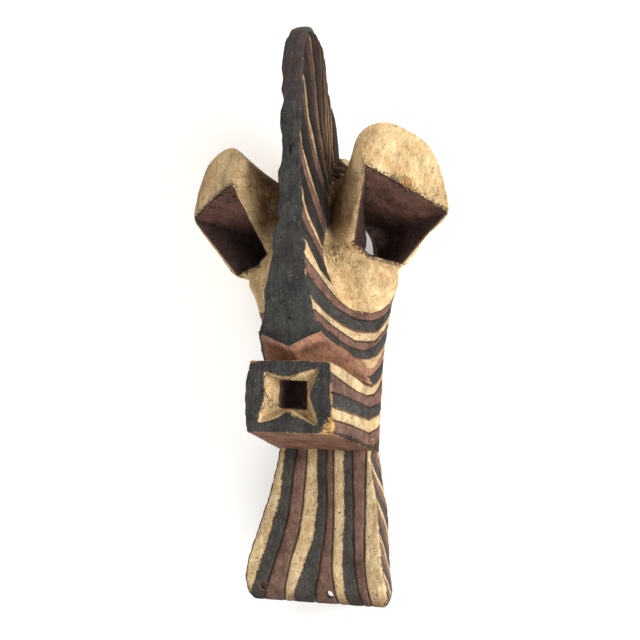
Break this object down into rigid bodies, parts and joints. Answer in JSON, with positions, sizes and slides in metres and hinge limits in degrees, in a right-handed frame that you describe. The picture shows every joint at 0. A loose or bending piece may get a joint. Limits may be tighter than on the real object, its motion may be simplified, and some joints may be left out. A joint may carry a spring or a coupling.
{
  "type": "carved wooden kifwebe mask",
  "caption": "Carved and painted Songye-style kifwebe mask with a tall crest, tube eyes, a box mouth and a striped beard.",
  "frame": {"origin": "under the middle of the mask, on the plane of its back rim", "axes": "+X to the viewer's right, +Y up the face from the beard to the top of the crest, +Z out of the face, away from the back rim it lies on"},
  "size_m": [0.306, 0.64, 0.1755],
  "materials": {
    "painted_wood": "matt worn paint on carved wood"
  },
  "bodies": {
    "root": {"carved_mask": "painted_wood"}
  },
  "joints": []
}
